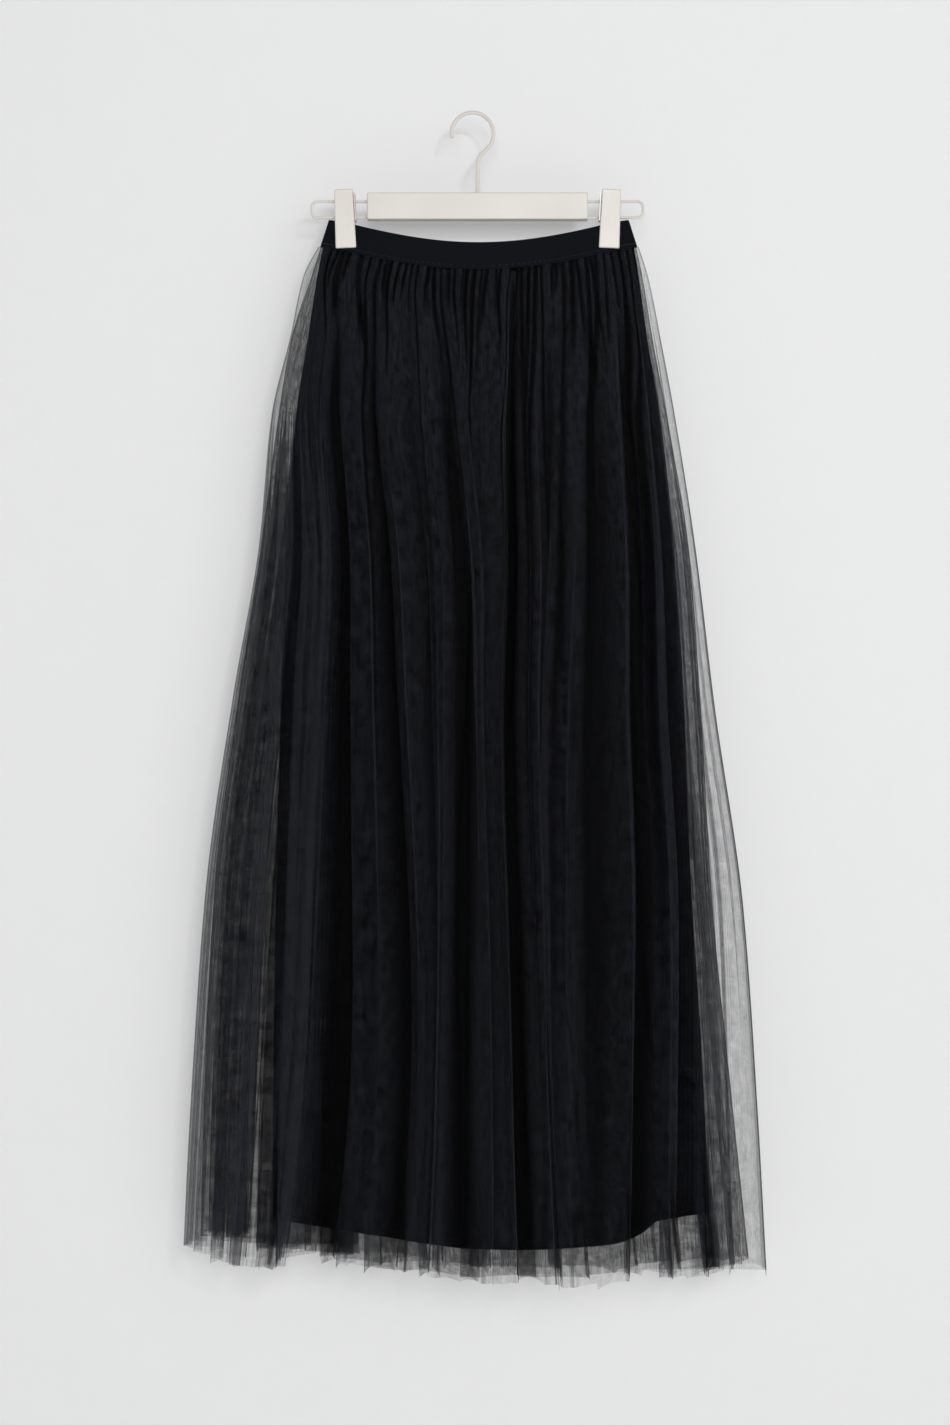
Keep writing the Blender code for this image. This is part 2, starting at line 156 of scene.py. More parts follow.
def make_net_group():
    group, given, result = new_group(
        "tulle_net",
        [
            ("Cut", "NodeSocketVector", None),
            ("Holes per Metre", "NodeSocketFloat", 700.0),
            ("Open Cover", "NodeSocketFloat", 0.08),
            ("Thread Cover", "NodeSocketFloat", 0.5),
            ("Unevenness", "NodeSocketFloat", 0.4),
        ],
        [("Cover", "NodeSocketFloat"), ("Thread", "NodeSocketFloat"), ("Beat", "NodeSocketFloat")],
    )
    place = add_node(group, "ShaderNodeSeparateXYZ", {0: given.outputs["Cut"]})
    wave = sum_of(group, "MULTIPLY", given.outputs["Holes per Metre"], 2 * pi)
    across = sum_of(group, "MULTIPLY", place.outputs["X"], wave)
    down = sum_of(group, "MULTIPLY", place.outputs["Y"], wave)
    total = sum_of(group, "COSINE", across)
    for turn in (60, -60):
        part_across = sum_of(group, "MULTIPLY", across, cos(radians(turn)))
        crossing = sum_of(group, "MULTIPLY_ADD", down, sin(radians(turn)), part_across)
        total = sum_of(group, "ADD", total, sum_of(group, "COSINE", crossing))
    thread = spread_of(group, total, THREAD_EDGE, THREAD_MIDDLE, 0.0, 1.0)
    stretched = add_node(
        group, "ShaderNodeMapping",
        {"Vector": given.outputs["Cut"], "Scale": (1.0, BEAT_STRETCH, 1.0)},
    )
    beat = add_node(
        group, "ShaderNodeTexNoise",
        {"Vector": stretched.outputs[0], "Scale": BEAT_SCALE, "Detail": 2.0, "Roughness": 0.6},
    )
    widened = add_node(
        group, "ShaderNodeMapping",
        {"Vector": given.outputs["Cut"], "Scale": (RING_STRETCH, 1.0, 1.0)},
    )
    slow = add_node(
        group, "ShaderNodeTexNoise",
        {"Vector": widened.outputs[0], "Scale": RING_SCALE, "Detail": 1.0},
    )
    rings = sum_of(group, "SINE", sum_of(group, "MULTIPLY", slow.outputs["Fac"], RING_TURNS))
    fine = spread_of(group, beat.outputs["Fac"], 0.3, 0.7, -1.0, 1.0)
    swing = sum_of(group, "MULTIPLY_ADD", rings, RING_WEIGHT, fine)
    uneven = sum_of(group, "MULTIPLY_ADD", swing, given.outputs["Unevenness"], 1.0)
    gap = sum_of(
        group, "SUBTRACT", given.outputs["Thread Cover"], given.outputs["Open Cover"]
    )
    cover = sum_of(group, "MULTIPLY_ADD", thread, gap, given.outputs["Open Cover"])
    cover = sum_of(group, "MULTIPLY", cover, uneven, clamp=True)
    group.links.new(cover, result.inputs["Cover"])
    group.links.new(thread, result.inputs["Thread"])
    group.links.new(fine, result.inputs["Beat"])
    return group


# %% [markdown]
# ### Woven ribs and grain
# The elastic shows ribs along its length, the slip a close flat weave, and the plastic
# a faint grain from its mould. The first two are crossed waves on the cut, and the
# third is noise. All put out a height for a Bump node and a mask to vary the colour.


# %% Groups: weave and grain
WEAVE_PATCH_SCALE = 30.0
GRAIN_PATCH_SCALE = 18.0


def make_weave_group():
    group, given, result = new_group(
        "weave",
        [
            ("Cut", "NodeSocketVector", None),
            ("Threads Across", "NodeSocketFloat", 1500.0),
            ("Threads Down", "NodeSocketFloat", 1500.0),
        ],
        [("Height", "NodeSocketFloat"), ("Patch", "NodeSocketFloat")],
    )
    place = add_node(group, "ShaderNodeSeparateXYZ", {0: given.outputs["Cut"]})
    heights = []
    for axis, label in (("X", "Threads Across"), ("Y", "Threads Down")):
        turns = sum_of(group, "MULTIPLY", given.outputs[label], pi)
        wave = sum_of(group, "SINE", sum_of(group, "MULTIPLY", place.outputs[axis], turns))
        heights.append(sum_of(group, "ABSOLUTE", wave))
    height = sum_of(group, "MAXIMUM", heights[0], heights[1])
    patch = add_node(
        group, "ShaderNodeTexNoise",
        {"Vector": given.outputs["Cut"], "Scale": WEAVE_PATCH_SCALE, "Detail": 3.0},
    )
    group.links.new(height, result.inputs["Height"])
    group.links.new(patch.outputs["Fac"], result.inputs["Patch"])
    return group


def make_grain_group():
    group, given, result = new_group(
        "grain",
        [("Place", "NodeSocketVector", None), ("Scale", "NodeSocketFloat", 900.0)],
        [("Height", "NodeSocketFloat"), ("Patch", "NodeSocketFloat")],
    )
    fine = add_node(
        group, "ShaderNodeTexNoise",
        {"Vector": given.outputs["Place"], "Scale": given.outputs["Scale"], "Detail": 3.0},
    )
    slow = add_node(
        group, "ShaderNodeTexNoise",
        {"Vector": given.outputs["Place"], "Scale": GRAIN_PATCH_SCALE, "Detail": 2.0},
    )
    group.links.new(fine.outputs["Fac"], result.inputs["Height"])
    group.links.new(slow.outputs["Fac"], result.inputs["Patch"])
    return group


NET = make_net_group()
WEAVE = make_weave_group()
GRAIN = make_grain_group()
print("groups", [group.name for group in bpy.data.node_groups])


# %% Helpers for materials
def start_material(name, colour, roughness, **constants):
    """A material whose Principled node holds its plain values."""
    material = bpy.data.materials.new(name)
    material.use_nodes = True
    tree = material.node_tree
    shader = tree.nodes["Principled BSDF"]
    shader.inputs["Base Color"].default_value = (*colour, 1.0)
    shader.inputs["Roughness"].default_value = roughness
    for label, value in constants.items():
        shader.inputs[label.replace("_", " ")].default_value = value
    return material, tree, shader


def shade_between(tree, shader, mask, dark, light):
    """Lets a mask choose between two colours of the same finish."""
    node = add_node(
        tree, "ShaderNodeMix", {"Factor": mask, "A": (*dark, 1.0), "B": (*light, 1.0)},
        data_type="RGBA",
    )
    tree.links.new(node.outputs["Result"], shader.inputs["Base Color"])


def raise_by(tree, shader, height, distance, strength=1.0):
    bump = add_node(
        tree, "ShaderNodeBump",
        {"Height": height, "Distance": distance, "Strength": strength},
    )
    tree.links.new(bump.outputs["Normal"], shader.inputs["Normal"])


# %% [markdown]
# ### The net's material
# Seen square on, net covers about a sixth of what is behind it. Seen along its
# surface, the same threads close up, and that draws the thin dark lines at each fold's
# edge. The share that a sheet of threads lets through falls as a power of one over the
# cosine of the angle, so the Alpha is worked out that way from the facing weight.

# %% Material: black tulle
NET_HOLES = 760.0  # holes in a metre
NET_PASS = 0.76  # the base of the power: lower closes up a tilted net sooner
NET_SHADE_FACTOR = 0.04  # painted shade: how light the threads are painted deep in a valley, next to a ridge
NET_THINNEST = 0.07  # the least cosine, which keeps a fold's edge from turning solid
NET_UNEVENNESS = 0.55  # how far the patches and rings change the cover
HOLE_LIGHT = 0.7  # how light the net is between its threads
MOTTLE = 0.25  # how far the patches change the colour
MOTTLE_BASE = 0.95


def make_tulle(name, open_cover, thread_cover, colour):
    material, tree, shader = start_material(
        name, colour, 0.62, Specular_IOR_Level=0.03, Sheen_Weight=0.01, Sheen_Roughness=0.4
    )
    cut = add_node(tree, "ShaderNodeUVMap", uv_map="cut")
    net = add_group(
        tree, NET,
        {
            "Cut": cut.outputs[0],
            "Holes per Metre": NET_HOLES,
            "Open Cover": open_cover,
            "Thread Cover": thread_cover,
            "Unevenness": NET_UNEVENNESS,
        },
    )
    weight = add_node(tree, "ShaderNodeLayerWeight", {"Blend": 0.5})
    cosine = sum_of(tree, "SUBTRACT", 1.0, weight.outputs["Facing"])
    cosine = sum_of(tree, "MAXIMUM", cosine, NET_THINNEST)
    crossings = sum_of(tree, "SUBTRACT", sum_of(tree, "DIVIDE", 1.0, cosine), 1.0)
    passed = sum_of(tree, "POWER", NET_PASS, crossings)
    open_share = sum_of(tree, "SUBTRACT", 1.0, net.outputs["Cover"])
    alpha = sum_of(
        tree, "SUBTRACT", 1.0, sum_of(tree, "MULTIPLY", open_share, passed), clamp=True
    )
    tree.links.new(alpha, shader.inputs["Alpha"])
    # painted shade: the panel's shade attribute paints the threads darker in valleys, gathers and
    # twisted ends
    painted_shade = add_node(tree, "ShaderNodeAttribute", attribute_name="painted_shade")
    out_of_shade = sum_of(tree, "SUBTRACT", 1.0, painted_shade.outputs["Fac"])
    out_of_shade = sum_of(tree, "MULTIPLY", out_of_shade, out_of_shade)
    thread_share = spread_of(tree, net.outputs["Thread"], 0.0, 1.0, HOLE_LIGHT, 1.0)
    shade_threads_and_beat = sum_of(tree, "MULTIPLY", out_of_shade, thread_share)
    mottle = sum_of(tree, "MULTIPLY_ADD", net.outputs["Beat"], MOTTLE, MOTTLE_BASE)
    shade_threads_and_beat = sum_of(tree, "MULTIPLY", shade_threads_and_beat, mottle, clamp=True)
    # the threads' colour under full painted shade
    darker = tuple(NET_SHADE_FACTOR * part for part in colour)
    shade_between(tree, shader, shade_threads_and_beat, darker, colour)
    material.use_transparency_overlap = True
    return material


OUTER_NET = make_tulle(
    "black_tulle", open_cover=0.06, thread_cover=0.42, colour=(0.054, 0.058, 0.071)
)
# painted shade: the inner net is the same black tulle as the outer one, painted about fifteen times
# darker for the outer net's shadow over it
INNER_NET = make_tulle(
    "black_tulle_inner", open_cover=0.26, thread_cover=0.66, colour=(0.0035, 0.0038, 0.0046)
)
print("nets", [material.name for material in (OUTER_NET, INNER_NET)])

# %% [markdown]
# ### The slip, the elastic and the hard pieces
# The other finishes are opaque, so two functions make them. The woven ones get their
# threads from the cut, and the hard ones get a fine grain from where they are.


# %% Materials: slip and elastic
def make_woven(name, dark, light, roughness, across, down, depth, sheen):
    material, tree, shader = start_material(
        name, dark, roughness, Sheen_Weight=sheen, Sheen_Roughness=0.5, Specular_IOR_Level=0.06
    )
    cut = add_node(tree, "ShaderNodeUVMap", uv_map="cut")
    weave = add_group(
        tree, WEAVE, {"Cut": cut.outputs[0], "Threads Across": across, "Threads Down": down}
    )
    shade_between(tree, shader, weave.outputs["Patch"], dark, light)
    raise_by(tree, shader, weave.outputs["Height"], depth)
    return material


SLIP_CLOTH = make_woven(
    "black_lining", (0.0010, 0.0010, 0.0014), (0.0020, 0.0021, 0.0026),
    roughness=0.6, across=2600.0, down=2600.0, depth=0.0001, sheen=0.01,
)
ELASTIC = make_woven(
    "black_elastic", (0.0035, 0.0042, 0.0060), (0.0055, 0.0064, 0.0088),
    roughness=0.75, across=1600.0, down=2400.0, depth=0.0002, sheen=0.02,
)
print("woven", [material.name for material in (SLIP_CLOTH, ELASTIC)])


# %% Materials: cream plastic, painted wire, thread, spring steel
ROUGHNESS_SPREAD = 0.06


def make_hard(name, dark, light, roughness, grain_scale, depth, **constants):
    material, tree, shader = start_material(name, dark, roughness, **constants)
    where = add_node(tree, "ShaderNodeTexCoord")
    grain = add_group(tree, GRAIN, {"Place": where.outputs["Object"], "Scale": grain_scale})
    shade_between(tree, shader, grain.outputs["Patch"], dark, light)
    rough = spread_of(
        tree, grain.outputs["Patch"], 0.3, 0.7,
        roughness - ROUGHNESS_SPREAD, roughness + ROUGHNESS_SPREAD,
    )
    tree.links.new(rough, shader.inputs["Roughness"])
    raise_by(tree, shader, grain.outputs["Height"], depth)
    return material


CREAM_PLASTIC = make_hard(
    "cream_plastic", (0.61, 0.575, 0.535), (0.655, 0.617, 0.575),
    roughness=0.42, grain_scale=1400.0, depth=0.00006,
)
CREAM_WIRE = make_hard(
    "cream_wire", (0.63, 0.59, 0.55), (0.69, 0.65, 0.61),
    roughness=0.32, grain_scale=900.0, depth=0.00004, Coat_Weight=0.2, Coat_Roughness=0.25,
)
THREAD = make_hard(
    "black_thread", (0.010, 0.010, 0.012), (0.018, 0.018, 0.021),
    roughness=0.55, grain_scale=3000.0, depth=0.00004,
)
DARK_STEEL = make_hard(
    "dark_steel", (0.17, 0.155, 0.145), (0.24, 0.22, 0.20),
    roughness=0.38, grain_scale=2000.0, depth=0.00003, Metallic=1.0,
)
print("hard", [material.name for material in (CREAM_PLASTIC, CREAM_WIRE, THREAD, DARK_STEEL)])

# %% [markdown]
# ## The hanger
# The bar, the hook, the end wires and the clips keep the frame's own solids, because
# their shapes are right already. They only need their finish.

# %% Finish the hanger
HANGER_FINISHES = {
    CREAM_PLASTIC: (
        "hanger_bar", "clip_left_front", "clip_left_back", "clip_right_front", "clip_right_back",
    ),
    CREAM_WIRE: ("hanger_hook", "loop_left", "loop_right"),
    DARK_STEEL: ("clip_left_spring", "clip_right_spring"),
}
for material, names in HANGER_FINISHES.items():
    for name in names:
        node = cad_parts[name]
        node.data.materials.clear()
        node.data.materials.append(material)
print("hanger pieces finished:", sum(len(names) for names in HANGER_FINISHES.values()))

# %% [markdown]
# ## The form of the hanging cloth
# The skirt hangs from the sagging waist seam as three flat tubes, one inside another.
# A section table gives each tube's reach at a few heights, in millimetres, and a fold
# table gives each fold's place from waist to hem. A cloth simulation could settle such
# folds, but the folds here have known places, so the form is worked out from the
# tables, and smooth curves run through them.

# %% Sizes of the cloth
band_low, band_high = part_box("waistband")
BAND_BOTTOM = (band_high.x - band_low.x) / 2  # half-width along the waist seam
BAND_X = (band_high.x + band_low.x) / 2
BAND_TOP = 150.0 * MM  # half-width along the upper edge
BAND_TOP_Z = band_high.z
BAND_SAG = 23.6 * MM  # how far the band dips in the middle
BAND_HEIGHT = 27.0 * MM
BAND_BOTTOM_Z = BAND_TOP_Z - BAND_HEIGHT
BAND_SAG_POWER = 1.4
BAND_GRIP = 2.35 * MM  # the band's outer face, from its middle plane, at the clips
BAND_SWELL = 9.0 * MM  # how much further out it is in the middle
BAND_WALL = 2.0 * MM
SWELL_REACH = 0.76  # the share of the half-width where the clips hold the band shut
TULLE_DROP = 1003.0 * MM  # the net's length from the seam to the hem
TULLE_SLANT = 12.0 * MM  # how much longer it hangs at the right seam than in the middle
TULLE_UNDER = 0.8 * MM  # how far the net lies inside the band's outer face
LINING_DROP = 972.0 * MM
OUTER_CUT, INNER_CUT, LINING_CUT = 1.15, 1.00, 0.44  # the panels' widths, laid flat
ROUND = 2.5  # the power of the rounded section: 2 is an ellipse
SETTLE = 0.12  # share of the length that the cloth takes to round out below the band
TUCK = 0.006  # share of the length that the net takes to come out from under the band
print("band", round(2 * BAND_BOTTOM, 4), "wide, net", TULLE_DROP, "long")

# %% Sections: share of the way down, reach to each side, and the depth of the folds
Section = namedtuple("Section", "down left right front back fold")


def rows_of(kind, *rows):
    return tuple(kind(*row) for row in rows)


OUTER_SECTIONS = rows_of(
    Section,
    (0.00, 154.0, 166.0, 14.0, 14.0, 1.8),
    (0.03, 169.0, 175.5, 22.0, 22.0, 6.0),
    (0.09, 182.0, 188.0, 29.0, 28.0, 9.0),
    (0.17, 201.0, 203.0, 35.0, 32.0, 11.0),
    (0.30, 213.5, 223.5, 42.0, 37.0, 14.0),
    (0.45, 239.0, 242.0, 47.0, 41.0, 17.0),
    (0.65, 267.0, 271.0, 53.0, 46.0, 20.0),
    (0.85, 281.0, 285.5, 58.0, 50.0, 22.0),
    (1.00, 289.0, 294.0, 60.0, 52.0, 22.0),
)
INNER_SECTIONS = rows_of(
    Section,
    (0.00, 151.6, 163.6, 10.6, 10.6, 0.8),
    (0.03, 161.0, 170.0, 14.0, 14.0, 2.5),
    (0.09, 180.5, 180.0, 18.0, 17.0, 4.0),
    (0.17, 194.0, 195.0, 22.0, 19.0, 6.0),
    (0.30, 211.0, 216.5, 26.0, 21.0, 8.0),
    (0.45, 233.0, 228.0, 28.0, 22.0, 9.0),
    (0.65, 258.0, 240.0, 31.0, 24.0, 11.0),
    (0.85, 268.0, 260.0, 34.0, 26.0, 12.0),
    (1.00, 272.0, 276.0, 36.0, 28.0, 12.0),
)
LINING_SECTIONS = rows_of(
    Section,
    (0.00, 149.2, 161.2, 8.2, 8.2, 0.4),
    (0.03, 155.0, 166.0, 9.5, 9.5, 0.8),
    (0.09, 164.0, 174.0, 12.0, 11.0, 1.5),
    (0.17, 176.0, 187.0, 14.0, 11.0, 2.0),
    (0.30, 186.0, 200.5, 16.0, 11.0, 2.5),
    (0.45, 191.0, 210.5, 17.0, 11.0, 2.5),
    (0.65, 196.0, 218.0, 18.0, 11.0, 3.0),
    (0.85, 199.0, 230.0, 20.0, 12.0, 3.0),
    (1.00, 200.0, 236.5, 22.0, 14.0, 3.0),
)
print("sections", len(OUTER_SECTIONS), len(INNER_SECTIONS), len(LINING_SECTIONS))

# %% [markdown]
# ### Folds
# A fold's row says where the valley at its left side lies at the waist, a third of the
# way down and at the hem, as a share of the half-width. Then come how deep the valley
# is, how far the fold tips over to the right, how sharp its crest is, and how many
# millimetres longer the cloth hangs there. The last row only ends the panel, at the
# right side seam.

# %% The folds
KNEE = 0.35  # the second place of each fold, as a share of the way down
Fold = namedtuple("Fold", "waist knee hem depth lean crest drop")
OUTER_FRONT_FOLDS = rows_of(
    Fold,
    (-1.00, -1.00, -1.00, 0.6, 0.00, 1.0, -1.0),
    (-0.975, -0.93, -0.92, 0.8, 0.60, 0.7, 14.0),
    (-0.95, -0.85, -0.84, 1.0, 0.75, 0.6, 20.0),
    (-0.92, -0.76, -0.75, 0.7, 0.50, 0.8, 16.0),
    (-0.885, -0.685, -0.69, 0.8, -0.25, 1.5, 10.0),
    (-0.83, -0.55, -0.50, 1.8, -0.05, 0.4, 4.0),
    (-0.65, -0.355, -0.265, 1.4, -0.15, 0.5, 6.0),
    (-0.44, -0.21, -0.15, 0.7, -0.30, 0.8, -2.0),
    (-0.21, -0.07, -0.035, 1.2, 0.20, 0.8, 1.0),
    (0.02, 0.035, 0.05, 0.4, 0.55, 0.6, -1.0),
    (0.22, 0.13, 0.14, 1.9, 0.15, 0.7, -5.0),
    (0.44, 0.32, 0.28, 0.9, -0.25, 0.8, 4.0),
    (0.68, 0.54, 0.42, 0.8, 0.45, 0.7, 7.0),
    (0.82, 0.675, 0.52, 1.5, 0.70, 0.6, -2.0),
    (0.93, 0.80, 0.65, 1.3, 0.85, 0.6, 8.0),
    (0.955, 0.88, 0.76, 0.8, 0.40, 0.8, -1.0),
    (0.98, 0.945, 0.88, 0.9, 0.15, 0.8, 2.0),
    (1.00, 1.00, 1.00, 0.6, 0.00, 1.0, 9.0),
)
OUTER_BACK_FOLDS = rows_of(
    Fold,
    (-1.00, -1.00, -1.00, 0.6, 0.00, 1.0, -1.0),
    (-0.87, -0.84, -0.86, 1.0, 0.80, 0.7, 18.0),
    (-0.72, -0.66, -0.66, 0.7, 0.65, 0.8, 2.0),
    (-0.53, -0.49, -0.49, 1.1, 0.75, 0.6, 8.0),
    (-0.36, -0.30, -0.27, 0.8, 0.30, 0.9, -1.0),
    (-0.15, -0.12, -0.11, 1.1, -0.60, 0.7, 6.0),
    (0.08, 0.11, 0.13, 0.6, -0.70, 0.9, 0.0),
    (0.29, 0.29, 0.30, 1.1, -0.50, 0.7, 7.0),
    (0.51, 0.48, 0.49, 0.8, 0.20, 0.8, -1.0),
    (0.70, 0.67, 0.69, 1.0, 0.80, 0.6, 6.0),
    (0.86, 0.83, 0.85, 0.7, 0.10, 0.8, 4.0),
    (1.00, 1.00, 1.00, 0.6, 0.00, 1.0, 9.0),
)
INNER_FRONT_FOLDS = rows_of(
    Fold,
    (-1.00, -1.00, -1.00, 0.6, 0.00, 1.0, -7.0),
    (-0.86, -0.81, -0.79, 1.0, 0.70, 0.7, 0.0),
    (-0.67, -0.60, -0.57, 0.8, 0.75, 0.8, -1.5),
    (-0.46, -0.42, -0.41, 1.0, 0.55, 0.7, 1.5),
    (-0.25, -0.21, -0.20, 0.7, 0.00, 0.8, -5.0),
    (-0.04, 0.00, 0.02, 1.0, -0.60, 0.7, -3.0),
    (0.19, 0.20, 0.22, 0.8, -0.70, 0.9, -5.5),
    (0.40, 0.41, 0.43, 1.0, -0.40, 0.7, -2.5),
    (0.62, 0.60, 0.62, 0.7, 0.50, 0.8, -4.5),
    (0.82, 0.80, 0.83, 1.0, 0.20, 0.7, -2.5),
    (1.00, 1.00, 1.00, 0.6, 0.00, 1.0, -6.0),
)
INNER_BACK_FOLDS = rows_of(
    Fold,
    (-1.00, -1.00, -1.00, 0.6, 0.00, 1.0, -7.0),
    (-0.84, -0.79, -0.80, 0.9, 0.70, 0.8, 1.0),
    (-0.63, -0.58, -0.58, 1.0, 0.75, 0.7, -1.0),
    (-0.42, -0.36, -0.34, 0.8, 0.40, 0.8, 2.0),
    (-0.18, -0.14, -0.12, 1.0, 0.00, 0.7, -4.5),
    (0.06, 0.07, 0.08, 0.7, -0.65, 0.9, -2.5),
    (0.28, 0.29, 0.31, 1.0, -0.60, 0.7, -4.0),
    (0.52, 0.50, 0.52, 0.8, 0.10, 0.8, -2.0),
    (0.71, 0.71, 0.74, 1.0, 0.60, 0.7, -4.5),
    (0.88, 0.85, 0.88, 0.7, 0.10, 0.8, -3.0),
    (1.00, 1.00, 1.00, 0.6, 0.00, 1.0, -6.0),
)
LINING_FOLDS = rows_of(
    Fold,
    (-1.00, -1.00, -1.00, 0.5, 0.00, 1.0, -2.0),
    (-0.72, -0.66, -0.66, 1.0, 0.10, 1.0, 0.0),
    (-0.35, -0.31, -0.30, 0.7, 0.00, 1.0, 2.0),
    (0.02, 0.05, 0.08, 1.0, -0.10, 1.0, 4.0),
    (0.50, 0.53, 0.56, 0.6, 0.10, 1.0, 6.0),
    (0.74, 0.75, 0.77, 1.0, 0.00, 1.0, -9.0),
    (1.00, 1.00, 1.00, 0.5, 0.00, 1.0, -6.0),
)
print("folds of the outer net", len(OUTER_FRONT_FOLDS) - 1, len(OUTER_BACK_FOLDS) - 1)

# %% [markdown]
# ### Curves
# A place round a flat tube is a sweep, from -1 at the left seam to 1 at the right one,
# and the rounded section turns the sweep into a share of the half-width.


# %% Curves shared by all the cloth
def ease(share):
    """Runs smoothly from 0 to 1 as share does."""
    share = np.clip(share, 0.0, 1.0)
    return share * share * (3 - 2 * share)


def mix(first, second, share):
    return first + (second - first) * share


def smooth_through(places, values, at):
    """A smooth curve through a table's values that never overshoots them."""
    places, values = np.array(places, float), np.array(values, float)
    steps = np.diff(places)
    rises = np.diff(values) / steps
    slopes = np.zeros(len(places))
    slopes[0], slopes[-1] = rises[0], rises[-1]
    for number in range(1, len(rises)):
        before, after = rises[number - 1], rises[number]
        if before * after > 0:
            slopes[number] = 2 * before * after / (before + after)
    at = np.clip(at, places[0], places[-1])
    number = np.clip(np.searchsorted(places, at, side="right") - 1, 0, len(steps) - 1)
    step = steps[number]
    t = (at - places[number]) / step
    return (
        values[number] * (1 + 2 * t) * (1 - t) ** 2
        + slopes[number] * step * t * (1 - t) ** 2
        + values[number + 1] * t * t * (3 - 2 * t)
        + slopes[number + 1] * step * t * t * (t - 1)
    )


def swell(share):
    """How open the band is: 1 in the middle and 0 at and beyond the clips."""
    return np.maximum(0.0, 1 - (share / SWELL_REACH) ** 2) ** 1.5


def sag(share):
    """How far the band has dipped at a share of its half-width."""
    return BAND_SAG * np.maximum(0.0, 1 - share * share) ** BAND_SAG_POWER


def sweep_at(share):
    """The sweep, -1 at the left seam and 1 at the right, that reaches a share."""
    return np.arcsin(np.sign(share) * np.abs(share) ** (ROUND / 2)) * 2 / pi


def share_at(sweep):
    """The share of the half-width at a sweep."""
    turn = np.sin(np.clip(sweep, -1, 1) * pi / 2)
    return np.sign(turn) * np.abs(turn) ** (2 / ROUND)


def bulge_at(sweep):
    """How far a round section stands out at a sweep: 1 in the middle, 0 at the seams."""
    return np.maximum(0.0, np.cos(sweep * pi / 2)) ** (2 / ROUND)


def closing(sweep):
    """Rounds the flat seam section shut at its two ends."""
    return np.minimum(1.0, bulge_at(sweep) / 0.25) ** 0.6


# %% [markdown]
# ### Gathers
# Where the net is drawn in at the band, it stands in dozens of narrow gathers, a
# finger's width apart. Seen from outside they are broad ridges with sharp valleys
# between them. So each valley is placed, not each ridge: it cuts in along a column of
# the cloth and fades at its own length, and where one ends the two ridges beside it
# merge into a wider one. The places are dealt out evenly and then shifted a little,
# and each valley drifts to one side on its way down.

# %% The gathers
Gathers = namedtuple("Gathers", "places widths depths lengths drifts")
GATHER_SHIFT, GATHER_WIDTHS, GATHER_DRIFT = 0.35, (0.32, 0.68), 1.8  # in pitches
GATHER_DEPTHS = (0.5, 1.15)  # as shares of the panel's own depth
SHORTEST_GATHER, GATHER_SPREAD = 0.035, 0.15  # as shares of the cloth's length
LONG_GATHERS, LONG_CHANCE = (0.15, 1.1), 0.35  # what is added, and to how many
DRIFTED = 0.16  # where a valley has drifted all the way


def deal_gathers(count, depth, seed):
    """Valleys dealt along the seam, as shares, with their widths, depths and lengths."""
    dice = np.random.default_rng(seed)
    pitch = 2 / count
    evenly = np.linspace(-1, 1, count + 2)[1:-1]
    places = evenly + dice.uniform(-GATHER_SHIFT, GATHER_SHIFT, count) * pitch
    widths = dice.uniform(*GATHER_WIDTHS, count) * pitch
    depths = depth * dice.uniform(*GATHER_DEPTHS, count)
    lengths = SHORTEST_GATHER + GATHER_SPREAD * dice.random(count) ** 1.5
    long_ones = dice.random(count) < LONG_CHANCE
    lengths = np.where(long_ones, lengths + dice.uniform(*LONG_GATHERS, count), lengths)
    drifts = dice.uniform(-GATHER_DRIFT, GATHER_DRIFT, count) * pitch
    return Gathers(places, widths, depths, lengths, drifts)


def gather_depth(gathers, waist_share, down, crease):
    """How far the valleys between gathers cut in at each point of the cloth.

    Crease is how much of their depth is left below the first hand's breadth.
    """
    total = np.zeros(np.broadcast(waist_share, down).shape)
    for number, (place, width, depth, length, drift) in enumerate(zip(*gathers)):
        aside = waist_share - place - drift * np.minimum(1.0, down / DRIFTED)
        narrow = width * (1 - 0.45 * ease(down / 0.5))
        steep_side = np.where(aside * (-1) ** number > 0, 0.65, 1.0)
        valley = np.maximum(0.0, 1 - np.abs(aside) / (narrow * steep_side)) ** 1.6
        fade = 1 - ease((down - 0.25 * length) / (0.75 * length))
        hold = mix(crease, 1.0, 1 - ease((down - 0.08) / 0.15))
        total += depth * valley * fade * hold
    return total


outer_gathers = deal_gathers(46, 6.5 * MM, 11)
print("longest gathers", np.round(np.sort(outer_gathers.lengths)[-5:], 2))

# %% [markdown]
# ### Twisted ends
# Near the raw hem a fold's end often twists on itself and hangs as a narrow dark tail.
# A true twist would take many more points, so the cloth is only drawn in along a
# narrow line above the hem, whose steep sides close the net's threads up, and the line
# is painted in shade as well. A twist's place is a share of the half-width, its depth
# is in millimetres, and its start is a share of the way down.

# %% Twisted ends of the folds
Twist = namedtuple("Twist", "place depth start")
FRONT_TWISTS = rows_of(
    Twist,
    (-0.86, 9.0, 0.88),
    (-0.765, 15.0, 0.84),
    (-0.69, 17.0, 0.80),
    (-0.45, 7.0, 0.90),
    (-0.244, 13.0, 0.82),
    (0.02, 8.0, 0.88),
    (0.235, 11.0, 0.86),
    (0.34, 10.0, 0.88),
    (0.525, 13.0, 0.86),
    (0.68, 16.0, 0.86),
    (0.745, 18.0, 0.88),
    (0.81, 15.0, 0.80),
)
BACK_TWISTS = FRONT_TWISTS[1::2]
TWIST_WIDTH = 0.02  # half its width, as a share of the half-width
TWISTED = 0.98  # how far down a twist is fully drawn in


def twist_depth(twists, share, down):
    """How far the cloth is drawn in where a fold's end has twisted on itself."""
    total = np.zeros(share.shape)
    for place, depth, start in twists:
        drawn = np.maximum(0.0, 1 - np.abs(share - place) / TWIST_WIDTH) ** 1.2
        total += depth * MM * drawn * ease((down - start) / (TWISTED - start))
    return total


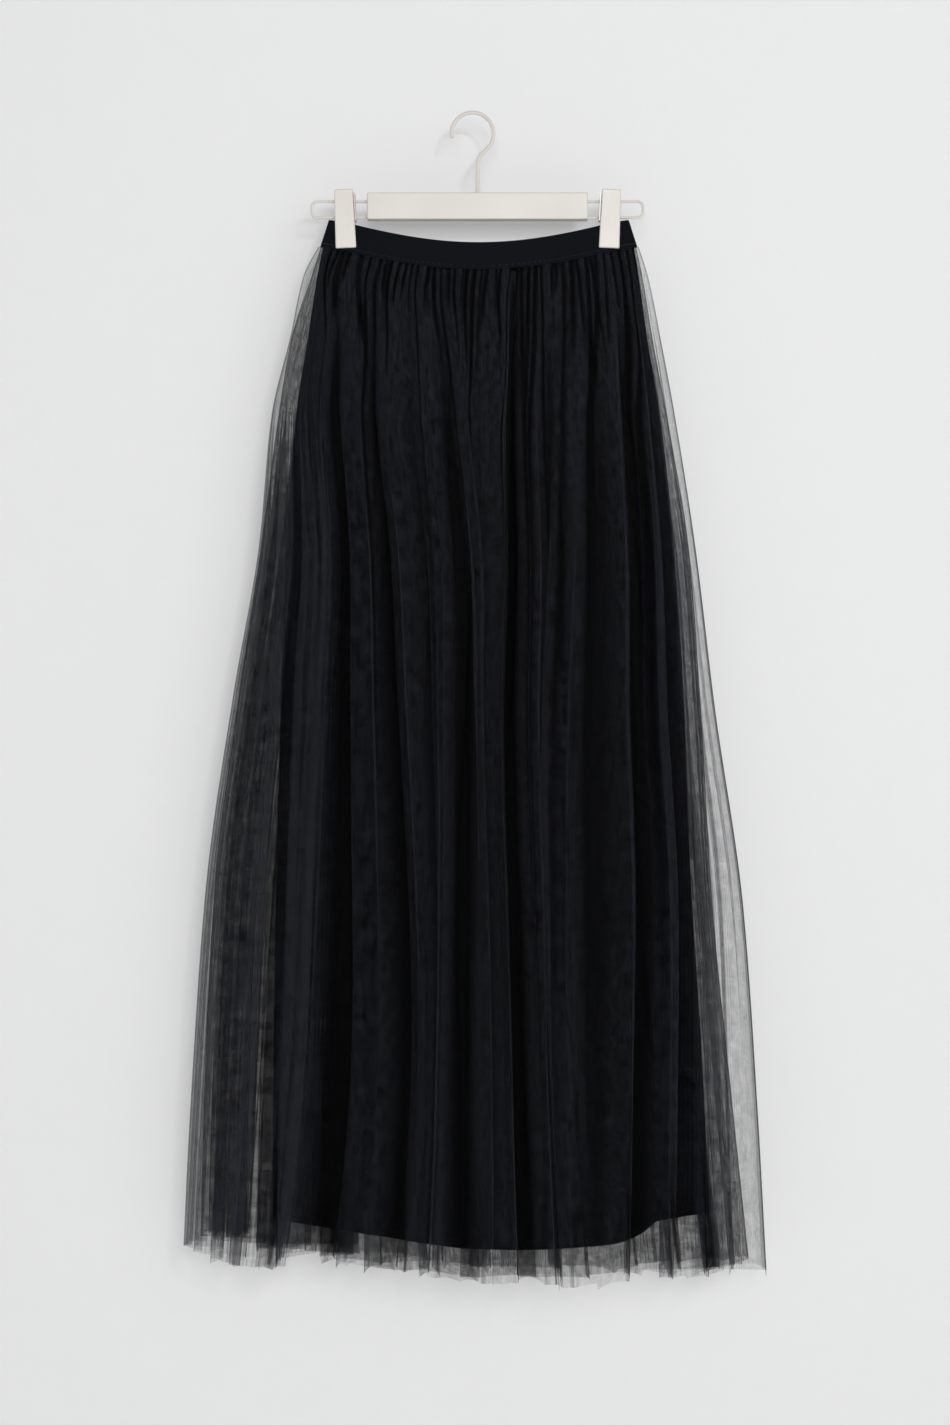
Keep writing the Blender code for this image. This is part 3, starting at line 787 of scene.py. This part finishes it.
print("twisted ends", len(FRONT_TWISTS), "and", len(BACK_TWISTS))

# %% [markdown]
# ### One panel of cloth
# A panel starts as a flat grid, with one coordinate along the folds' numbers and one
# down the cloth. The form then places every point of it. Tipping a fold's crest to
# one side, by more than its own slope, makes the cloth overhang and show a sharp edge
# with a dark valley beside it, as net does when it hangs close. Each fold also has two
# to four small pleats of its own, which tip over most where folds crowd at the sides.

# %% Tubes and the places of their folds
Tube = namedtuple("Tube", "sections seam drop slant")
OUTER_TUBE = Tube(OUTER_SECTIONS, 4.2 * MM, TULLE_DROP, TULLE_SLANT)
INNER_TUBE = Tube(INNER_SECTIONS, 2.6 * MM, TULLE_DROP, TULLE_SLANT)
LINING_TUBE = Tube(LINING_SECTIONS, 1.0 * MM, LINING_DROP, 0.0)
WANDER = 0.006  # how far the folds drift, in sweeps


def tube_sizes(tube, down):
    """A tube's reach to the left, right, front and back, and the depth of its folds."""
    levels = [section.down for section in tube.sections]
    return [
        smooth_through(levels, [getattr(section, name) for section in tube.sections], down) * MM
        for name in ("left", "right", "front", "back", "fold")
    ]


def seam_place(tube, share):
    """How far to the right a share of the half-width lies along the tube's seam."""
    top = tube.sections[0]
    return (top.right - top.left) / 2 * MM + (top.right + top.left) / 2 * MM * share


def fold_values(folds, number):
    """The table's rows at the valleys left and right of each point."""
    table = np.array(folds, float)
    return (Fold(*np.moveaxis(table[rows], -1, 0)) for rows in (number, number + 1))


def valley_share(row, down):
    """Where a valley lies: a curve through its places at the waist, knee and hem."""
    waist = (down - KNEE) * (down - 1) / KNEE
    knee = down * (1 - down) / (KNEE * (1 - KNEE))
    hem = down * (down - KNEE) / (1 - KNEE)
    return np.clip(row.waist * waist + row.knee * knee + row.hem * hem, -1.0, 1.0)


def drop_at(folds, along):
    """How much longer the cloth hangs at each place along the folds."""
    return smooth_through(range(len(folds)), [fold.drop for fold in folds], along) * MM


def wander(along, down, seed):
    """A slow drift of the folds to either side on their way down."""
    drift = np.zeros(np.broadcast(along, down).shape)
    for turn, (width, length) in enumerate(((0.9, 1.3), (1.7, 2.1), (3.1, 1.1))):
        phase = seed * 1.7 + turn * 2.3
        drift += np.sin(along * width + phase) * np.sin(down * length * pi + phase * 0.7)
    return drift * WANDER


# %% Pleats, pressing and ripples
FEWEST_PLEATS = 2
PLEAT_LEANS = (0.5, 1.3)  # how far the small pleats tip, in the middle and at the sides
CROWDED_FROM, CROWDED_OVER = 0.45, 0.3  # where the folds start to crowd, and how soon
RIGHT_EDGE = 0.78  # past it the net is a single smooth sheet, with hardly a pleat
PLEAT_LOSS = 0.8  # how much of that lean the pleats in the middle lose by the hem


def pleat_lean(here, following, pleats, down):
    """How far the small pleats on a fold tip over to one side."""
    fold_share = (here.hem + following.hem) / 2
    crowded = ease((np.abs(fold_share) - CROWDED_FROM) / CROWDED_OVER)
    crowded = crowded * np.where(fold_share > RIGHT_EDGE, 0.2, 1.0)
    lean = np.where(here.lean < 0, -1, 1) * mix(*PLEAT_LEANS, crowded) / pleats
    return lean * (1 - PLEAT_LOSS * ease((down - 0.5) / 0.45) * (1 - crowded))


def stand_out(tube, reach, sweep, share, down):
    """How far the cloth stands out: flat at the seam, tucked in the band, then round."""
    pressed = mix(tube.seam, reach, swell(share)) * closing(sweep)
    out = mix(pressed, reach * bulge_at(sweep), ease(down / SETTLE))
    tucked = (BAND_GRIP + BAND_SWELL * swell(share) - TULLE_UNDER) * closing(sweep)
    return mix(np.minimum(tucked, out), out, ease(down / TUCK))


def ripples(along, down, seed):
    """The small waves of the loose cloth, and the curl of its raw hem."""
    ripple = np.sin(along * 9.1 + down * 2.0 + seed) + 0.6 * np.sin(along * 15.7 - seed)
    curl = np.sin(along * 12.3 + down * 70 + seed) + np.sin(along * 19.1 - down * 95)
    return ease((down - 0.4) / 0.5) * ripple + 0.6 * ease((down - 0.88) / 0.12) * curl


# %% Hang a panel
SMALL_DEPTH = 0.14  # the small pleats' depth, as a share of their fold's
FOLD_SHADE, PLEAT_SHADE = 0.8, 0.16  # how dark the painted shade in the valleys of folds and small pleats is
GATHER_SHADE = 3.2 * MM  # a gather this deep is fully dark with painted shade
TWIST_SHADE = 24 * MM  # and so is a twisted end this deep
SPIKE = 9.0  # how far the fold ends hang out of the hem, in flutters
TWIST_DROP = 0.35  # how much longer a twisted end hangs, as a share of its depth


def hang(tube, folds, side, along, down, gathers=None, crease=0.6, flutter=0.0, seed=1.0,
         twists=()):
    """Places points of a panel: along is in folds, down is from 0 at the waist to 1.

    It also gives each point its painted shade, from 0 to 1, darkest deep in its valley.
    """
    left, right, front, back, depth = tube_sizes(tube, down)
    number = np.clip(np.floor(along).astype(int), 0, len(folds) - 2)
    place = along - number
    here, following = fold_values(folds, number)
    start = sweep_at(valley_share(here, down))
    end = sweep_at(valley_share(following, down))
    crest = np.abs(np.sin(pi * place)) ** (2 * here.crest)
    tip = here.lean * mix(0.35, 1.0, down) * ease(down / 0.12)
    edge = 1 - np.abs(mix(start, end, 0.5)) ** 6
    pleats = FEWEST_PLEATS + (number * 7 + int(seed)) % 3
    small = np.sin(pi * place * pleats) ** 2
    small_tip = 0.0 if gathers is None else pleat_lean(here, following, pleats, down)
    loosened = ease((down - 0.05) / 0.3)
    sweep = mix(start, end, place + tip * crest + small_tip * small * loosened)
    sweep = sweep + wander(along, down, seed) * edge * ease(down / 0.15)
    sweep = np.clip(sweep, -1, 1)
    share = share_at(sweep)

    middle, half = (right - left) / 2, (right + left) / 2
    reach = front if side < 0 else back
    out = stand_out(tube, reach, sweep, share, down)
    slope_x = np.sign(share) * np.abs(share) ** (ROUND - 1) / half
    slope_y = bulge_at(sweep) ** (ROUND - 1) / reach
    length = np.hypot(slope_x, slope_y)

    freedom = mix(swell(share), 1.0, ease(down / SETTLE)) * bulge_at(sweep)
    breathe = 1 + 0.2 * np.sin(down * 5.2 + along * 1.9 + seed)
    valley = mix(here.depth, following.depth, ease(place))
    inward = depth * valley * breathe * freedom * (1 - crest)
    inward = inward + SMALL_DEPTH * depth * freedom * loosened * (1 - small)
    # painted shade in the valleys of the folds and of the small pleats
    painted_shade = FOLD_SHADE * ((1 - crest) ** 1.1 * valley) ** 2 * freedom * ease(down / 0.25)
    painted_shade = painted_shade + PLEAT_SHADE * (1 - small) * loosened * freedom

    waist_sweep = mix(sweep_at(here.waist), sweep_at(following.waist), place)
    if gathers is not None:
        room = np.minimum(1.0, out / (6 * MM)) * ease(down / TUCK)
        cut_in = gather_depth(gathers, share_at(waist_sweep), down, crease)
        inward = inward + cut_in * room
        # painted shade in the gathers' valleys
        painted_shade = painted_shade + cut_in / GATHER_SHADE
    # painted shade also changes down the cloth: the valleys' share eases a little, an even share
    # grows over the upper half, and a little is taken off near the hem
    painted_shade = painted_shade * (1 - 0.15 * down) + 0.12 * ease(down / 0.5) - 0.05 * ease((down - 0.6) / 0.4)
    if flutter:
        inward = inward + flutter * ripples(along, down, seed) * bulge_at(sweep)
    drawn_in = twist_depth(twists, share, down)
    inward = inward + drawn_in
    # painted shade on a twisted end
    painted_shade = painted_shade + drawn_in / TWIST_SHADE

    x = middle + half * share - slope_x / length * inward
    y = np.maximum(out - slope_y / length * inward, 0.0)
    seam_x = seam_place(tube, share_at(waist_sweep))
    seam_share = np.clip((seam_x - BAND_X) / BAND_BOTTOM, -1, 1)
    seam_z = BAND_BOTTOM_Z - sag(seam_share) + 0.5 * MM
    fall = tube.drop + tube.slant * seam_share + drop_at(folds, along) * ease(down)
    spike = (1 - crest) ** 6 * (0.5 + 0.5 * np.sin(number * 2.6 + seed)) * ease((down - 0.93) / 0.07)
    fall = fall + flutter * SPIKE * spike + TWIST_DROP * drawn_in * ease((down - 0.9) / 0.1)
    z = seam_z - down * fall
    return np.stack([x, side * y, z], axis=-1), np.clip(painted_shade, 0.0, 1.0)


# %% Make a panel's mesh
ROW_CROWDING = 0.55  # how much closer the grid's rows lie at the waist


def link(thing):
    bpy.context.scene.collection.objects.link(thing)
    return thing


def flat_grid(name, columns, rows):
    """A flat mesh of squares, and its points' places from 0 to 1."""
    shape = bmesh.new()
    shape.loops.layers.uv.new("cut")
    bmesh.ops.create_grid(shape, x_segments=columns, y_segments=rows, size=0.5)
    mesh = bpy.data.meshes.new(name)
    shape.to_mesh(mesh)
    shape.free()
    flat = np.zeros(len(mesh.vertices) * 3)
    mesh.vertices.foreach_get("co", flat)
    return mesh, flat.reshape(-1, 3) + 0.5


def set_form(mesh, points, cut):
    """Moves the mesh's points into place and keeps their cut as the UV map."""
    mesh.vertices.foreach_set("co", points.ravel())
    corners = np.zeros(len(mesh.loops), int)
    mesh.loops.foreach_get("vertex_index", corners)
    mesh.uv_layers["cut"].uv.foreach_set("vector", cut[corners].ravel())


def panel_object(name, tube, folds, side, columns, rows, cut_width, material, **options):
    """A grid turned into a hanging panel."""
    mesh, flat = flat_grid(name, columns, rows)
    across = flat[:, 0] if side < 0 else 1 - flat[:, 0]
    upward = flat[:, 1]
    down = mix(1 - upward, (1 - upward) ** 2, ROW_CROWDING)
    along = across * (len(folds) - 1)
    points, painted_shade = hang(tube, folds, side, along, down, **options)
    set_form(mesh, points, np.stack([flat[:, 0] * cut_width, -down * tube.drop], axis=-1))
    # keeps each point's painted shade for the net's material
    mesh.attributes.new("painted_shade", "FLOAT", "POINT").data.foreach_set("value", painted_shade)
    mesh.shade_smooth()
    mesh.materials.append(material)
    mesh.update()
    return link(bpy.data.objects.new(name, mesh))


def area_of(piece):
    return sum(face.area for face in piece.data.polygons)


# %% [markdown]
# ## The net layers
# Each layer is two panels, sewn at the sides. A layer of skirt tulle is cut two to
# four times as wide as the waist it is gathered to. The finished panels are open
# sheets with no thickness, because the net's own thickness is a tenth of a millimetre.

# %% Hang the net
PANEL_FIELDS = "node tube folds side columns rows cut material gathers crease flutter seed twists"
Panel = namedtuple("Panel", PANEL_FIELDS)
TULLE_PANELS = (
    Panel("tulle_outer_front", OUTER_TUBE, OUTER_FRONT_FOLDS, -1, 740, 130, OUTER_CUT,
          OUTER_NET, outer_gathers, 0.7, 1.0 * MM, 1.0, FRONT_TWISTS),
    Panel("tulle_outer_back", OUTER_TUBE, OUTER_BACK_FOLDS, 1, 560, 120, OUTER_CUT,
          OUTER_NET, deal_gathers(42, 6.5 * MM, 12), 0.7, 1.0 * MM, 2.0, BACK_TWISTS),
    Panel("tulle_inner_front", INNER_TUBE, INNER_FRONT_FOLDS, -1, 520, 120, INNER_CUT,
          INNER_NET, deal_gathers(40, 3.0 * MM, 13), 1.2, 1.0 * MM, 3.0, ()),
    Panel("tulle_inner_back", INNER_TUBE, INNER_BACK_FOLDS, 1, 520, 120, INNER_CUT,
          INNER_NET, deal_gathers(40, 3.0 * MM, 14), 1.2, 1.0 * MM, 4.0, ()),
)
for panel in TULLE_PANELS:
    net = panel_object(
        panel.node + "_net", panel.tube, panel.folds, panel.side, panel.columns, panel.rows,
        panel.cut, panel.material, gathers=panel.gathers, crease=panel.crease,
        flutter=panel.flutter, seed=panel.seed, twists=panel.twists,
    )
    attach(net, "root")
    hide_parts(panel.node)
    print(panel.node, "area", round(area_of(net), 3), "cut", round(panel.cut * TULLE_DROP, 3))

# %% [markdown]
# ## The slip
# The slip under the net is opaque and cut much narrower, in a plain A-line. It hangs
# smooth, with only a few soft waves, so a modest grid is enough, and a Solidify
# modifier gives it the thickness of a light lining cloth.

# %% Hang the slip
LINING_WALL = 0.5 * MM
SLIP_COLUMNS, SLIP_ROWS = 150, 70
for node, side in (("lining_front", -1), ("lining_back", 1)):
    slip = panel_object(
        node + "_slip", LINING_TUBE, LINING_FOLDS, side, SLIP_COLUMNS, SLIP_ROWS,
        LINING_CUT, SLIP_CLOTH, seed=5.0,
    )
    wall = slip.modifiers.new("cloth", "SOLIDIFY")
    wall.thickness = LINING_WALL
    wall.offset = 0.0
    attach(slip, "root")
    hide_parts(node)
    print(node, "area", round(area_of(slip), 3), "cut", round(LINING_CUT * LINING_DROP, 3))

# %% [markdown]
# ## The elastic band
# The band is one loop of woven elastic. Its ribs run along its length, so they are
# real ridges here: the grid has four rows to each rib, and every point moves in or
# out with its height. The ends of the grid meet at the left side and are merged.

# %% Make the band
BAND_RIBS = 17
RIB_DEPTH = 0.16 * MM
ROWS_PER_RIB = 4
BAND_COLUMNS = 360
EDGE_ROLL = 0.35 * MM  # how far the band's two edges round inwards


def band_point(turn, height):
    """A point of the band's outer face: turn runs once round, height from 0 to 1."""
    side = np.where(turn < 0.5, -1.0, 1.0)
    sweep = np.where(turn < 0.5, turn * 4 - 1, 3 - turn * 4)
    share = share_at(sweep)
    half = mix(BAND_BOTTOM, BAND_TOP, height)
    depth = BAND_GRIP + BAND_SWELL * swell(share)
    edge_roll = EDGE_ROLL * (np.abs(height * 2 - 1) ** 14)
    rib = RIB_DEPTH * np.sin(height * BAND_RIBS * 2 * pi)
    depth = depth - edge_roll + rib
    z = mix(BAND_BOTTOM_Z, BAND_TOP_Z, height) - sag(share)
    return np.stack([BAND_X + half * share, side * depth * closing(sweep), z], axis=-1)


def make_band():
    mesh, flat = flat_grid("waistband_elastic", BAND_COLUMNS, BAND_RIBS * ROWS_PER_RIB)
    cut = np.stack([flat[:, 0] * 4 * BAND_BOTTOM, flat[:, 1] * BAND_HEIGHT], axis=-1)
    set_form(mesh, band_point(flat[:, 0], flat[:, 1]), cut)
    shape = bmesh.new()
    shape.from_mesh(mesh)
    bmesh.ops.remove_doubles(shape, verts=shape.verts[:], dist=1e-6)
    bmesh.ops.recalc_face_normals(shape, faces=shape.faces[:])
    shape.to_mesh(mesh)
    shape.free()
    mesh.shade_smooth()
    mesh.materials.append(ELASTIC)
    band = link(bpy.data.objects.new("waistband_elastic", mesh))
    wall = band.modifiers.new("elastic", "SOLIDIFY")
    wall.thickness = BAND_WALL
    wall.offset = -1.0
    return band


band = make_band()
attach(band, "root")
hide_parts("waistband")
print("band area", round(area_of(band), 4))

# %% [markdown]
# ### The line of stitches
# One row of machine stitches runs round the band, just above its lower edge. A stitch
# is a short fat thread that dips at both ends, so a stretched ball is near enough, and
# a loop sets one after another along the band's own curve.

# %% Sew the band
STITCH_RISE = 3.5 * MM
STITCH_LENGTH = 2.4 * MM
STITCH_PITCH = 3.3 * MM
STITCH_THICK = 0.5 * MM


def make_stitches():
    shape = bmesh.new()
    count = int(4 * BAND_BOTTOM / STITCH_PITCH)
    height = STITCH_RISE / BAND_HEIGHT
    for number in range(count):
        turn = (number + 0.5) / count
        point = Vector(band_point(np.array(turn), np.array(height)))
        after = Vector(band_point(np.array(min(turn + 0.002, 1.0)), np.array(height)))
        way = (after - point).normalized()
        turned = way.to_track_quat("X", "Z").to_matrix().to_4x4()
        size = Matrix.Diagonal((STITCH_LENGTH / 2, STITCH_THICK / 2, STITCH_THICK / 2, 1.0))
        place = Matrix.Translation(point) @ turned @ size
        bmesh.ops.create_uvsphere(shape, u_segments=6, v_segments=4, radius=1.0, matrix=place)
    mesh = bpy.data.meshes.new("waist_stitches")
    shape.to_mesh(mesh)
    shape.free()
    mesh.shade_smooth()
    mesh.uv_layers.new(name="cut")
    mesh.materials.append(THREAD)
    return link(bpy.data.objects.new("waist_stitches", mesh)), count


stitches, stitch_count = make_stitches()
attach(stitches, "root")
print("stitches", stitch_count)

# %% [markdown]
# ## The wall and the floor
# The hanger hangs close to a pale painted wall, and the skirt's soft shadow falls on
# it. From behind, the wall would hide the skirt, so its back face is fully clear. It
# also lets lamps through from behind, so that the skirt's back is lit too. Its paint
# glows a little, in place of the light that a white room throws back into shadows.

# %% Set the stage
WALL_Y = 57.0 * MM  # just clear of the skirt's back
FLOOR_DROP = 0.42  # how far the floor lies below the hem
FLOOR_Z = cad_low.z - FLOOR_DROP
STAGE_SIZE = 9.0
WALL_GLOW = 0.235


def make_paint(name, colour, glow, one_sided):
    material, tree, shader = start_material(
        name, colour, 0.85, Emission_Color=(1.0, 1.0, 1.0, 1.0), Emission_Strength=glow
    )
    where = add_node(tree, "ShaderNodeTexCoord")
    grain = add_group(tree, GRAIN, {"Place": where.outputs["Object"], "Scale": 350.0})
    darker = tuple(0.985 * part for part in colour)
    shade_between(tree, shader, grain.outputs["Patch"], darker, colour)
    raise_by(tree, shader, grain.outputs["Height"], 0.0001)
    if one_sided:
        behind = add_node(tree, "ShaderNodeNewGeometry")
        ray = add_node(tree, "ShaderNodeLightPath")
        clear = add_node(tree, "ShaderNodeBsdfTransparent")
        either = sum_of(
            tree, "MAXIMUM", behind.outputs["Backfacing"], ray.outputs["Is Shadow Ray"]
        )
        choose = add_node(
            tree, "ShaderNodeMixShader",
            {0: either, 1: shader.outputs[0], 2: clear.outputs[0]},
        )
        output = tree.nodes["Material Output"]
        tree.links.new(choose.outputs[0], output.inputs["Surface"])
    return material


def stage_plane(name, matrix, material):
    shape = bmesh.new()
    bmesh.ops.create_grid(shape, x_segments=1, y_segments=1, size=STAGE_SIZE / 2)
    bmesh.ops.transform(shape, matrix=matrix, verts=shape.verts[:])
    mesh = bpy.data.meshes.new(name)
    shape.to_mesh(mesh)
    shape.free()
    mesh.materials.append(material)
    plane = link(bpy.data.objects.new(name, mesh))
    return plane


upright = Matrix.Rotation(pi / 2, 4, "X")
wall_place = Matrix.Translation((0, WALL_Y, FLOOR_Z + STAGE_SIZE / 2)) @ upright
stage_plane("wall", wall_place, make_paint("wall_paint", (0.56, 0.56, 0.565), WALL_GLOW, True))
floor_place = Matrix.Translation((0, WALL_Y - STAGE_SIZE / 2, FLOOR_Z))
stage_plane("floor", floor_place, make_paint("floor_paint", (0.80, 0.80, 0.80), 0.0, False))
print("wall at", WALL_Y, "floor at", round(FLOOR_Z, 3))

# %% [markdown]
# ## Light and camera
# A small lamp near the camera, to its right and a little above, makes the hook's
# shadow, and a broad one in front gives most of the light. A large pane of light far
# to the right draws the soft shadow on the wall at the left, and a lamp behind serves
# the views of the back. The world fills in the rest. The camera looks straight at the
# wall, level with the skirt's middle.

# %% Lights
Lamp = namedtuple("Lamp", "name place size power")
LAMPS = (
    Lamp("key", (0.78, -3.0, 0.38), 0.24, 15.0),
    Lamp("front", (0.25, -4.2, 0.1), 1.3, 76.0),
    Lamp("window", (3.4, -5.0, 0.8), 3.6, 58.0),
    Lamp("behind", (-1.5, 3.0, 0.4), 2.0, 40.0),
)
SKIRT_MIDDLE = (0.0, 0.0, -0.6)
SKY_COLOUR, SKY_STRENGTH = (0.97, 0.985, 1.0, 1.0), 0.22


def add_lamp(name, place, size, power):
    """A square lamp that faces the skirt's middle."""
    data = bpy.data.lights.new(name, "AREA")
    data.shape = "RECTANGLE"
    data.size, data.size_y = size, size
    data.energy = power
    lamp = link(bpy.data.objects.new(name, data))
    lamp.location = place
    way = Vector(SKIRT_MIDDLE) - Vector(place)
    lamp.rotation_euler = way.to_track_quat("-Z", "Y").to_euler()


for lamp in LAMPS:
    add_lamp(*lamp)

world = bpy.data.worlds.new("room")
bpy.context.scene.world = world
world.use_nodes = True
sky = world.node_tree.nodes["Background"]
sky.inputs["Color"].default_value = SKY_COLOUR
sky.inputs["Strength"].default_value = SKY_STRENGTH
print("lamps", [lamp.name for lamp in LAMPS])

# %% Camera
CAMERA_DISTANCE = 2.8
VIEW_HEIGHT = 1.425
VIEW_CENTRE = (0.0025, -0.598)
SENSOR = 36.0

lens = bpy.data.cameras.new("camera")
lens.sensor_width = SENSOR
lens.lens = SENSOR * CAMERA_DISTANCE / VIEW_HEIGHT
camera = link(bpy.data.objects.new("camera", lens))
camera.location = (VIEW_CENTRE[0], -CAMERA_DISTANCE, VIEW_CENTRE[1])
camera.rotation_euler = (pi / 2, 0, 0)
scene = bpy.context.scene
scene.camera = camera
scene.view_settings.view_transform = "Standard"
scene.cycles.transparent_max_bounces = 40
print("lens", round(lens.lens, 2), "at", CAMERA_DISTANCE, "metres")
